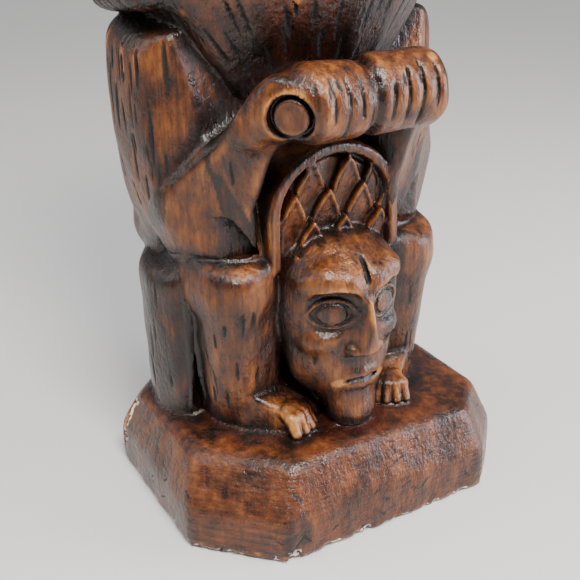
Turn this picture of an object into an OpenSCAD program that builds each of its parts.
// Two-tier carved tiki figure on a cut-corner plinth.
// Millimetres, +Z up, the figure looks along -Y, its own right side is -X.
// The origin is on the floor under the middle of the plinth.
// Each carved member is a solid of its own, and meets its neighbours along the carved creases.

/* [Plinth] */
// Width of the plinth across the figure
plinth_w = 136; // [134:1:150]
// Depth of the plinth, front to back
plinth_d = 124; // [118:1:136]
// Height of the plinth's flat top above the floor
plinth_h = 35; // [30:0.5:40]
// Height of the upright band round the foot of the plinth
plinth_band = 19; // [12:0.5:24]
// How far the sloping shoulder leans in above the band
plinth_lean = 8; // [4:0.5:9]
// Length cut off the two corners on the figure's right, measured along the plinth's sides
plinth_cut_right = 27; // [16:1:30]
// Length cut off the two corners on the figure's left
plinth_cut_left = 20; // [16:1:30]

/* [Shoulders] */
// Height of the lower figure's shoulders above the floor
lower_shoulder_z = 100; // [98:0.5:102]
// Height of the upper figure's shoulders above the floor
upper_shoulder_z = 183; // [181:0.5:185]

/* [Lower figure] */
// Half of the width across the lower figure's haunches
haunch_half_w = 59; // [57:0.5:61]
// Half of the width across the lower figure's forearms
lower_arm_half_w = 46; // [45:0.5:48]
// Half of the width of the lower face
lower_face_half_w = 22; // [20:0.5:24]
// Distance that the lower face stands in front of the middle
lower_face_front = 46; // [44:0.5:48]
// Height of the lower forehead's top
lower_brow_top = 110; // [108:0.5:112]

/* [Lower headdress] */
// Half of the width of the arched headdress
arch_half_w = 26; // [24:0.5:27]
// Height of the arch's top above the floor
arch_top = 142; // [140:0.5:143]
// Height of the arch's curved part
arch_rise = 24; // [20:1:30]
// Distance of the arch's face in front of the middle
arch_front = 29; // [28:0.5:30]
// Width of the raised rim round the arch
rim_w = 3.6; // [3:0.2:5]
// Length of one leaf
leaf_l = 17; // [14:0.5:18]
// Width of one leaf
leaf_w = 11.5; // [10:0.5:12]

/* [Upper figure] */
// Half of the width across the upper figure's arms
upper_arm_half_w = 63; // [61:0.5:64]
// Height of the held rod's middle above the floor
rod_z = 158; // [157:0.5:159]
// Distance of the rod in front of the middle
rod_front = 44; // [43:0.5:46]
// Diameter of the held rod
rod_dia = 14; // [12:0.5:15]
// Length of the held rod
rod_l = 58; // [58:1:62]
// Radius of a closed fist round the rod
fist_r = 11.5; // [11:0.25:12]

/* [Upper head] */
// Half of the width of the upper head with its hair
head_half_w = 64; // [60:0.5:65]
// Height of the hairline, where the headband starts
hairline_z = 300; // [292:1:306]
// Height of the headband
band_h = 15; // [12:0.5:18]
// Height of the whole figure above the floor
total_h = 378; // [366:1:390]
// Distance of the upper face in front of the middle
upper_face_front = 49; // [46:0.5:52]

/* [Hidden] */

form_fn = 14;
finger_fn = 8;
rim_proud = 2.2;
arch_depth = 15;
rod_x0 = -29;
arch_base = lower_brow_top - 22;
crown_base = hairline_z + band_h;
crown_half_w = 44;
crown_front = 33;
crown_depth = 30;
crown_rise = 40;
crown_rim_w = 6;
leaf_depth = 6;
upper_leaf_l = 25;
upper_leaf_w = 18;

worn = "#8a4d1e";
dark = "#4a2a18";
mahogany = "#6e3418";
umber = "#2e1c14";

// ---- basic shapes ----

module ball(p, r) translate(p) sphere(r, $fn = form_fn);

// A finger or a lock of hair: a limb of few sides.
module strand(points, radii)
    for (i = [0 : len(points) - 2])
        hull() {
            translate(points[i]) sphere(radii[i], $fn = finger_fn);
            translate(points[i + 1]) sphere(radii[i + 1], $fn = finger_fn);
        }

module egg(p, radii) translate(p) scale(radii) sphere(1, $fn = form_fn);

// A limb through the given points, with a radius at each of them.
module limb(points, radii)
    for (i = [0 : len(points) - 2])
        hull() {
            ball(points[i], radii[i]);
            ball(points[i + 1], radii[i + 1]);
        }

// One rounded mass round all the given points.
module mass(points, radii)
    hull()
        for (i = [0 : len(points) - 1])
            ball(points[i], radii[i]);

// Makes a right-hand shape (-X) stand on the left.
module left() mirror([1, 0, 0]) children();

// A right-hand shape and its mirror image.
module both() {
    children();
    left() children();
}

// Room for the half of a shape on the right (-1) or on the left (1).
module half(side)
    translate([side < 0 ? -100 : 0, -100, 0]) cube([100, 200, 400]);

// Keeps what stands above the plinth's flat top.
module above_plinth()
    intersection() {
        children();
        translate([-100, -100, plinth_h]) cube([200, 200, 400]);
    }

// Arch outline in the X-Z plane: straight sides and an elliptical top.
module arch_outline(half_w, base, top, rise)
    union() {
        translate([-half_w, base]) square([2 * half_w, top - rise - base]);
        translate([0, top - rise]) scale([half_w, rise]) circle(1, $fn = 48);
    }

module arch_slab(half_w, base, top, rise, front, depth)
    translate([0, depth - front, 0])
        rotate([90, 0, 0])
            linear_extrude(depth) arch_outline(half_w, base, top, rise);

// A pointed leaf that stands up from [x, z], with a ridge down its middle.
module leaf(x, z, front, length, width)
    hull() {
        translate([x, -front + 0.5, z]) cube([width * 0.55, 1, 0.4], center = true);
        translate([x, -front + 0.5, z + length * 0.45]) cube([width, 1, 1.6], center = true);
        translate([x, -front + 0.5, z + length]) cube([1, 1, 1], center = true);
        translate([x, -front - 1.6, z + length * 0.5]) cube([0.6, 0.6, length * 0.5], center = true);
    }

// Rows of leaves, each row set half a leaf to the side of the row below.
module leaf_rows(rows, pitch_x, pitch_z, base_z, front, length, width)
    for (row = [0 : len(rows) - 1])
        for (i = [0 : rows[row] - 1])
            leaf((i - (rows[row] - 1) / 2) * pitch_x, base_z + row * pitch_z, front, length, width);

// ---- lower figure ----

module haunch_form()
    union() {
        mass([[-haunch_half_w + 12, -1, lower_shoulder_z - 15],
              [-haunch_half_w + 12, 24, lower_shoulder_z - 17],
              [-haunch_half_w + 13, 0, plinth_h + 4],
              [-haunch_half_w + 14, 26, plinth_h + 4]], [12, 12, 12, 12]);
        mass([[-haunch_half_w + 26, 4, lower_shoulder_z - 15],
              [-haunch_half_w + 26, 26, lower_shoulder_z - 17],
              [-haunch_half_w + 14, 12, lower_shoulder_z - 16]], [14, 14, 13]);
    }

module lower_arm_form()
    union() {
        mass([[-lower_arm_half_w + 15, -17, lower_shoulder_z - 12],
              [-lower_arm_half_w + 12, -12, lower_shoulder_z - 14],
              [-lower_arm_half_w + 10, -14, plinth_h + 6],
              [-lower_arm_half_w + 15, -20, plinth_h + 12]], [16, 14, 10, 10]);
        limb([[-lower_arm_half_w + 18, -4, lower_shoulder_z - 12],
              [-lower_arm_half_w + 18, -12, plinth_h + 10]], [13, 10]);
    }

module lower_hand_form()
    union() {
        limb([[-40, -16, plinth_h + 4], [-31, -29, plinth_h + 5], [-25, -34, plinth_h + 4.5]],
             [8, 8, 6.5]);
        for (finger = [0 : 3])
            strand([[-28 + finger * 3.2, -31 - finger * 0.8, plinth_h + 5],
                    [-25 + finger * 3.2, -39 + finger * 1.2, plinth_h + 2.5]], [3.4, 2.6]);
    }

module lower_head_form()
    union() {
        hull() {
            egg([0, -lower_face_front + 25, lower_brow_top - 26],
                [lower_face_half_w, 24, 26]);
            for (side = [-1, 1])
                ball([side * (lower_face_half_w - 10), -lower_face_front + 17, 66], 9.5);
            ball([0, -lower_face_front + 9, plinth_h + 9], 9);
            egg([0, -lower_face_front + 26, plinth_h + 12], [12, 14, 12]);
        }
        // nose
        hull() {
            ball([0, -lower_face_front + 1.5, 89], 2.4);
            ball([0, -lower_face_front - 3, 71], 3);
            ball([-4, -lower_face_front + 2, 70], 2.6);
            ball([4, -lower_face_front + 2, 70], 2.6);
        }
        // brow
        for (side = [-1, 1])
            hull() {
                ball([side * 2, -lower_face_front + 1.5, 91], 3);
                ball([side * (lower_face_half_w - 4), -lower_face_front + 9, 94], 3);
            }
        // lids
        for (side = [-1, 1])
            hull() egg([side * 11, -lower_face_front + 5, 84], [7.5, 4, 4.6]);
        // lips
        hull() egg([0, -lower_face_front + 1.5, 58.5], [8, 3.4, 3.4]);
    }

module lower_head_solid()
    difference() {
        above_plinth() lower_head_form();
        arch_solid();
    }

// The room that the arch takes out of what stands beside it, down to the floor.
module lower_arch_block()
    arch_slab(arch_half_w, 0, arch_top, arch_rise, arch_front + rim_proud, arch_depth + rim_proud);

// The part of the arch inside its rim, from its ground forwards by the given depth.
module lower_arch_inside(front, depth)
    arch_slab(arch_half_w - rim_w, 0, arch_top - rim_w, arch_rise - rim_w, front, depth);

module arch_solid()
    difference() {
        arch_slab(arch_half_w, arch_base, arch_top, arch_rise, arch_front + rim_proud,
                  arch_depth + rim_proud);
        lower_arch_inside(arch_front + rim_proud, rim_proud);
        forehead();
    }

// The rounded forehead, which the arch and its leaves stand round.
module forehead()
    hull()
        egg([0, -lower_face_front + 25, lower_brow_top - 26], [lower_face_half_w, 24, 26]);

module lower_leaves_solid()
    difference() {
        intersection() {
            leaf_rows([4, 5, 4, 3], 11.3, 11.2, lower_brow_top - 19, arch_front, leaf_l, leaf_w);
            lower_arch_inside(arch_front + leaf_depth, leaf_depth);
        }
        forehead();
    }

module lower_trunk_form()
    mass([[-26, 4, lower_shoulder_z - 16], [26, 4, lower_shoulder_z - 16],
          [-26, 30, lower_shoulder_z - 18], [26, 30, lower_shoulder_z - 18],
          [-28, 2, plinth_h + 6], [28, 2, plinth_h + 6],
          [-28, 30, plinth_h + 6], [28, 30, plinth_h + 6]],
         [16, 16, 16, 16, 14, 14, 16, 16]);

// ---- upper figure ----

module seat_form()
    union() {
        mass([[-36, 33, 104], [-34, 30, 126], [-24, 30, 108]], [15.5, 14, 16]);
        limb([[-36, 33, 104], [-36, 22, 112]], [15, 15]);
    }

module upper_arm_form()
    union() {
        mass([[-48.5, -11, upper_shoulder_z - 10], [-upper_arm_half_w + 15, 8, upper_shoulder_z - 16],
              [-upper_arm_half_w + 16, 16, upper_shoulder_z - 17],
              [-46.5, -13, 130], [-upper_arm_half_w + 18, 6, 122],
              [-upper_arm_half_w + 20, 14, 124]], [4, 15, 15, 4, 15, 14]);
        limb([[-40, -6, upper_shoulder_z - 12], [-38, -5, 130]], [7, 8]);
    }

module forearm_form()
    union() {
        mass([[-36, -14, 119], [-39, -9, 122], [-37, -26, 134], [-32, -20, 122]],
             [12.5, 11, 9.5, 11]);
        limb([[-36, -22, 130], [-33, -32, 148], [-29, -38, 158]], [11, 10.5, 10]);
    }

// A fist from x0 to x1 round the rod, its fingers side by side over the front.
module fist_form(x0, x1, r)
    union() {
        hull() {
            ball([x0, -rod_front + 1, rod_z], r - 0.6);
            ball([x1, -rod_front + 1, rod_z], r - 0.6);
        }
        for (finger = [0 : 3]) {
            x = x0 + (finger + 0.2) * (x1 - x0) / 3.4;
            strand([[x, -rod_front + 2, rod_z + r - 3.4],
                    [x, -rod_front - r + 4, rod_z + 3],
                    [x, -rod_front - r + 5.5, rod_z - r + 5]], [3.6, 3.8, 3.4]);
        }
    }

module right_fist_form()
    union() {
        fist_form(-18, -3, fist_r);
        limb([[-28, -37, 161], [-19, -39, 161]], [8, 9]);
    }

module left_fist_form()
    fist_form(5, 17, fist_r + 0.5);

module rod_solid()
    translate([rod_x0, -rod_front, rod_z])
        rotate([0, 90, 0])
            cylinder(h = rod_l, d = rod_dia, $fn = 48);

// A bearded jaw that narrows downwards like a bowl, with locks combed towards its tip.
module beard_form()
    union() {
        hull() {
            egg([0, 0, upper_shoulder_z + 12], [54, 40, 4]);
            egg([0, 0, upper_shoulder_z], [46, 32, 3]);
            egg([0, 0, 166], [36, 25, 3]);
            egg([0, -2, 140], [20, 15, 6]);
            ball([0, -6, 128], 8);
        }
        for (lock = [-4 : 4]) {
            turn = lock * 17;
            strand([[53 * sin(turn), -39 * cos(turn), upper_shoulder_z + 12],
                    [35 * sin(turn), -24 * cos(turn), 165],
                    [13 * sin(turn), -4 - 11 * cos(turn), 134]], [4, 3.4, 2.6]);
        }
    }

module upper_trunk_form()
    union() {
        mass([[-30, 8, upper_shoulder_z - 18], [30, 8, upper_shoulder_z - 18],
              [-30, 26, upper_shoulder_z - 18], [30, 26, upper_shoulder_z - 18],
              [-26, 6, 112], [26, 6, 112], [-26, 26, 112], [26, 26, 112]],
             [16, 16, 16, 16, 14, 14, 16, 16]);
        // the belly that the lower headdress leans against
        mass([[-18, -2, 112], [18, -2, 112], [-18, -2, 140], [18, -2, 140]], [12, 12, 12, 12]);
    }

module upper_head_form()
    union() {
        hull() {
            egg([0, -3, 262], [46, 44, 44]);
            egg([0, -4, 215], [46, 42, 26]);
            egg([0, 2, upper_shoulder_z + 14], [52, 40, 6]);
        }
        // nose
        hull() {
            ball([0, -upper_face_front + 3, 266], 5);
            ball([0, -upper_face_front - 4, 236], 6);
            ball([-8, -upper_face_front + 3, 234], 5);
            ball([8, -upper_face_front + 3, 234], 5);
        }
        // brow
        for (side = [-1, 1])
            hull() {
                ball([side * 4, -upper_face_front + 4, 273], 6);
                ball([side * 34, -upper_face_front + 19, 278], 6);
            }
        // lids
        for (side = [-1, 1])
            hull() egg([side * 20, -upper_face_front + 9, 259], [13, 7, 8]);
        // lips
        hull() egg([0, -upper_face_front + 3, 214], [16, 7, 6]);
    }

// One side lock of the hair, which flares out over the shoulder.
module hair_form()
    union() {
        mass([[-head_half_w + 18, -3, hairline_z - 12], [-head_half_w + 18, 16, hairline_z - 12],
              [-head_half_w + 16, -5, 250], [-head_half_w + 16, 16, 250]], [14, 14, 13, 13]);
        mass([[-head_half_w + 16, -5, 250], [-head_half_w + 16, 16, 250],
              [-head_half_w + 15, -5, upper_shoulder_z + 18],
              [-head_half_w + 15, 16, upper_shoulder_z + 17]], [13, 13, 13, 13]);
        for (lock = [0 : 3])
            strand([[-head_half_w + 6, -10 + lock * 9, hairline_z - 14],
                    [-head_half_w + 5, -12 + lock * 10, 250],
                    [-head_half_w + 4, -11 + lock * 10, upper_shoulder_z + 14]], [4, 4, 4]);
    }

module back_hair_form()
    union() {
        mass([[-30, 20, hairline_z - 18], [30, 20, hairline_z - 18],
              [-34, 22, 230], [34, 22, 230]], [22, 22, 24, 24]);
        mass([[-34, 22, 230], [34, 22, 230], [-26, 28, upper_shoulder_z],
              [26, 28, upper_shoulder_z], [0, 32, 158]], [24, 24, 18, 18, 14]);
        for (lock = [-4 : 4])
            strand([[lock * 8, 40 - abs(lock) * 1.2, hairline_z - 10],
                    [lock * 10, 43.5 - abs(lock) * 1.4, 230],
                    [lock * 6, 43.5 - abs(lock), 186 + abs(lock) * 3]], [4, 4, 3]);
    }

module headband_form()
    hull() {
        for (z = [hairline_z + 1.5, crown_base - 1.5])
            egg([0, 2, z], [52, 44, 3]);
        egg([0, 2, hairline_z + band_h / 2], [54.5, 46.5, 6]);
    }

// The part of the crown's arch inside its rim, from its ground forwards by the given depth.
module crown_inside(front, depth)
    arch_slab(crown_half_w - crown_rim_w, crown_base, total_h - crown_rim_w,
              crown_rise - crown_rim_w, front, depth);

// The arch with its raised rim, and a combed dome behind it.
module crown_solid()
    union() {
        difference() {
            arch_slab(crown_half_w, crown_base, total_h, crown_rise, crown_front + rim_proud,
                      crown_depth + rim_proud);
            crown_inside(crown_front + rim_proud, rim_proud);
        }
        intersection() {
            union() {
                hull() {
                    egg([0, 4, crown_base], [46, 38, 8]);
                    egg([0, 0, total_h - 24], [34, 28, 18]);
                }
                for (lock = [-4 : 4])
                    strand([[42 * sin(lock * 18), 2 + 38 * cos(lock * 18), crown_base + 2],
                            [31 * sin(lock * 18), 27 * cos(lock * 18), total_h - 22]], [4, 4]);
            }
            translate([-60, -crown_front + 4, crown_base]) cube([120, 100, 100]);
        }
    }

module crown_leaves_solid()
    intersection() {
        leaf_rows([5, 4, 3, 2], 16.4, 14, crown_base, crown_front, upper_leaf_l, upper_leaf_w);
        crown_inside(crown_front + leaf_depth, leaf_depth);
    }

// ---- nodes, each less the members in front of it ----

module plinth() {
    right = plinth_cut_right;
    left = plinth_cut_left;
    w = plinth_w / 2;
    d = plinth_d / 2;
    foot = [[-w, -d + right], [-w + right, -d], [w - left, -d], [w, -d + left],
            [w, d - left], [w - left, d], [-w + right, d], [-w, d - right]];
    shoulder = [for (p = foot) [p.x * (1 - plinth_lean / w), p.y * (1 - plinth_lean / d)]];
    color(mahogany)
        union() {
            linear_extrude(plinth_band) polygon(foot);
            hull() {
                translate([0, 0, plinth_band - 0.01]) linear_extrude(0.01) polygon(foot);
                translate([0, 0, plinth_h - 0.01]) linear_extrude(0.01) polygon(shoulder);
            }
        }
}

module lower_right_hand()
    color(worn) difference() {
        above_plinth() lower_hand_form();
        lower_head_form();
    }

module lower_left_hand()
    color(worn) left() difference() {
        above_plinth() lower_hand_form();
        left() lower_head_form();
    }

module arm_solid()
    difference() {
        above_plinth() lower_arm_form();
        lower_hand_form();
        lower_head_form();
        lower_arch_block();
    }

module lower_right_arm() color(worn) arm_solid();

module lower_left_arm() color(worn) left() arm_solid();

module haunch_solid()
    difference() {
        above_plinth() haunch_form();
        lower_arm_form();
        lower_hand_form();
        lower_head_form();
    }

module lower_right_haunch() color(dark) haunch_solid();

module lower_left_haunch() color(dark) left() haunch_solid();

module lower_head() color(worn) lower_head_solid();

module lower_headdress() color(dark) arch_solid();

module lower_headdress_leaves() color(worn) lower_leaves_solid();

module lower_trunk()
    color(umber) difference() {
        above_plinth() lower_trunk_form();
        lower_head_form();
        lower_arch_block();
        both() {
            haunch_form();
            lower_arm_form();
            lower_hand_form();
        }
    }

module lower_tier_form() {
    lower_arch_block();
    lower_trunk_form();
    both() {
        haunch_form();
        lower_arm_form();
    }
}

module seat_solid()
    difference() {
        seat_form();
        lower_tier_form();
        upper_arm_form();
        forearm_form();
    }

module upper_right_haunch() color(dark) seat_solid();

module upper_left_haunch() color(dark) left() seat_solid();

module upper_arm_solid()
    difference() {
        upper_arm_form();
        forearm_form();
        beard_form();
        lower_tier_form();
        hair_form();
    }

module upper_right_arm() color(worn) upper_arm_solid();

module upper_left_arm() color(worn) left() upper_arm_solid();

module upper_right_forearm()
    color(worn) difference() {
        forearm_form();
        right_fist_form();
        rod_solid();
        lower_tier_form();
        beard_form();
    }

module upper_left_forearm()
    color(worn) difference() {
        left() forearm_form();
        left_fist_form();
        rod_solid();
        lower_tier_form();
        beard_form();
    }

module right_fist()
    color(worn) difference() {
        intersection() {
            right_fist_form();
            half(-1);
        }
        rod_solid();
        beard_form();
    }

module left_fist()
    color(worn) difference() {
        intersection() {
            left_fist_form();
            half(1);
        }
        rod_solid();
        beard_form();
    }

module held_rod() color(worn) rod_solid();

module upper_trunk()
    color(umber) difference() {
        upper_trunk_form();
        lower_tier_form();
        beard_form();
        back_hair_form();
        both() {
            seat_form();
            upper_arm_form();
            forearm_form();
            hair_form();
        }
    }

module upper_beard()
    color(umber) difference() {
        beard_form();
        both() hair_form();
        back_hair_form();
    }

module upper_head()
    color(worn) difference() {
        upper_head_form();
        beard_form();
        back_hair_form();
        headband_form();
        both() hair_form();
    }

module side_hair_solid()
    difference() {
        hair_form();
        headband_form();
    }

module upper_right_hair() color(dark) side_hair_solid();

module upper_left_hair() color(dark) left() side_hair_solid();

module upper_back_hair()
    color(dark) difference() {
        back_hair_form();
        headband_form();
        both() {
            hair_form();
            upper_arm_form();
        }
    }

module upper_headband()
    color(mahogany) difference() {
        headband_form();
        translate([-60, -60, crown_base]) cube([120, 120, 60]);
    }

module upper_crown() color(dark) crown_solid();

module upper_crown_leaves() color(worn) crown_leaves_solid();

plinth();
lower_trunk();
lower_right_haunch();
lower_left_haunch();
lower_right_arm();
lower_left_arm();
lower_right_hand();
lower_left_hand();
lower_head();
lower_headdress();
lower_headdress_leaves();
upper_trunk();
upper_right_haunch();
upper_left_haunch();
upper_right_arm();
upper_left_arm();
upper_right_forearm();
upper_left_forearm();
right_fist();
left_fist();
held_rod();
upper_beard();
upper_head();
upper_right_hair();
upper_left_hair();
upper_back_hair();
upper_headband();
upper_crown();
upper_crown_leaves();
